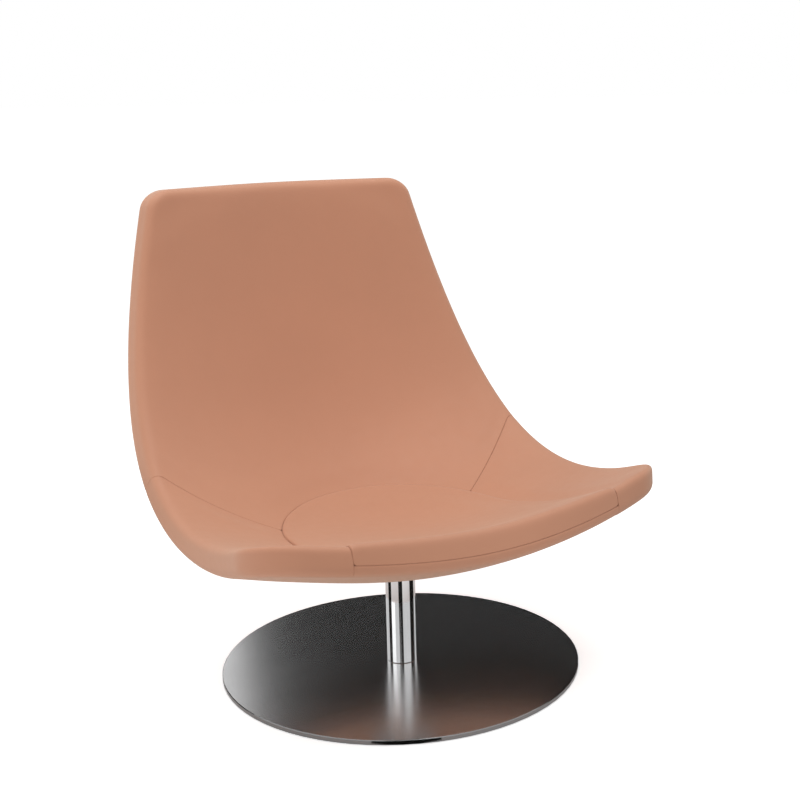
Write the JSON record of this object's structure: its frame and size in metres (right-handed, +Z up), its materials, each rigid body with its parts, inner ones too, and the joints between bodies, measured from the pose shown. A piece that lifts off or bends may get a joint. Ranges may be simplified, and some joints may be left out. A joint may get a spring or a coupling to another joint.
{
  "type": "swivel armchair",
  "caption": "Low lounge chair: one upholstered shell with wide front wings and a raised seat pad, swivelling on a polished column over a round steel plate.",
  "frame": {"origin": "on the floor, under the centre of the base plate and of the column", "axes": "+Z up along the column, -Y to the front of the chair at rest, +X to the sitter's left"},
  "size_m": [0.7362, 0.7627, 0.7862],
  "materials": {
    "leather": "smooth matte, terracotta",
    "polished_steel": "polished",
    "satin_steel": "satin polished",
    "zinc_steel": "zinc plated",
    "black_steel": "blackened",
    "black_plastic": "matte",
    "nylon": "natural nylon",
    "moulded_plastic": "moulded"
  },
  "bodies": {
    "base": {"base_plate": "satin_steel", "floor_pad": "black_plastic", "column_bolt": "zinc_steel", "column_foot_plug": "zinc_steel", "column_tube": "polished_steel", "upper_bush": "nylon", "lower_bush": "nylon", "thrust_washer": "black_plastic"},
    "seat": {"swivel_spindle": "zinc_steel", "spindle_washer": "zinc_steel", "spindle_circlip": "black_steel", "seat_flange": "zinc_steel", "mount_bolt_1": "zinc_steel", "mount_bolt_2": "zinc_steel", "mount_bolt_3": "zinc_steel", "mount_bolt_4": "zinc_steel", "threaded_insert_1": "zinc_steel", "threaded_insert_2": "zinc_steel", "threaded_insert_3": "zinc_steel", "threaded_insert_4": "zinc_steel", "inner_shell": "moulded_plastic", "outer_cover": "leather", "back_upholstery": "leather", "wing_upholstery_left": "leather", "wing_upholstery_right": "leather", "seat_pad": "leather"}
  },
  "joints": [
    {"name": "seat_swivel", "type": "hinge", "parent": "base", "child": "seat", "pos_m": [0, 0, 0.17], "axis": [0, 0, 1], "continuous": true}
  ]
}
